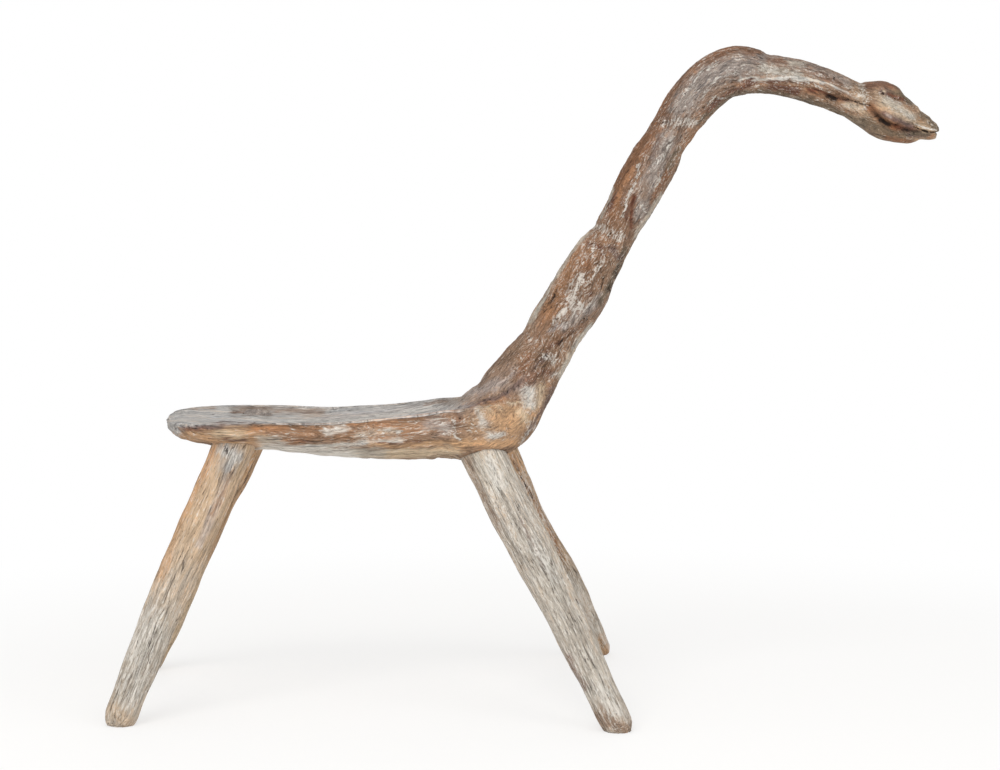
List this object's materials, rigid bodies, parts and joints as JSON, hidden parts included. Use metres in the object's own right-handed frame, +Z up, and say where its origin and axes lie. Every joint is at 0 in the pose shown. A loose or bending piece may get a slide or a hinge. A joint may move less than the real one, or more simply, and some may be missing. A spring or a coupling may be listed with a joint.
{
  "type": "child's stool",
  "caption": "Low child's stool hewn from a natural wood crook: a dished seat whose end sweeps up into a long curved neck with a carved animal head, on splayed tenoned legs.",
  "frame": {"origin": "the middle of the outer size in plan, on the floor plane that the feet stand on", "axes": "+X runs along the stool from the open front end of the seat to the head, +Z is up, and the sitter, who has the neck behind them, has their left side at -Y"},
  "size_m": [0.8248, 0.4466, 0.6488],
  "materials": {
    "crook_wood": "weathered brown driftwood with chalky lime-white residue in the grain, dry and matt",
    "leg_wood": "pale limed and greyed sticks with fine dark cracks along the grain, dry and matt",
    "wedge_wood": "darker split hardwood, matt"
  },
  "bodies": {
    "root": {"seat_neck_and_head": "crook_wood", "front_left_leg": "leg_wood", "front_right_leg": "leg_wood", "rear_left_leg": "leg_wood", "rear_right_leg": "leg_wood", "front_left_wedge": "wedge_wood", "front_right_wedge": "wedge_wood", "rear_left_wedge": "wedge_wood", "rear_right_wedge": "wedge_wood"}
  },
  "joints": []
}
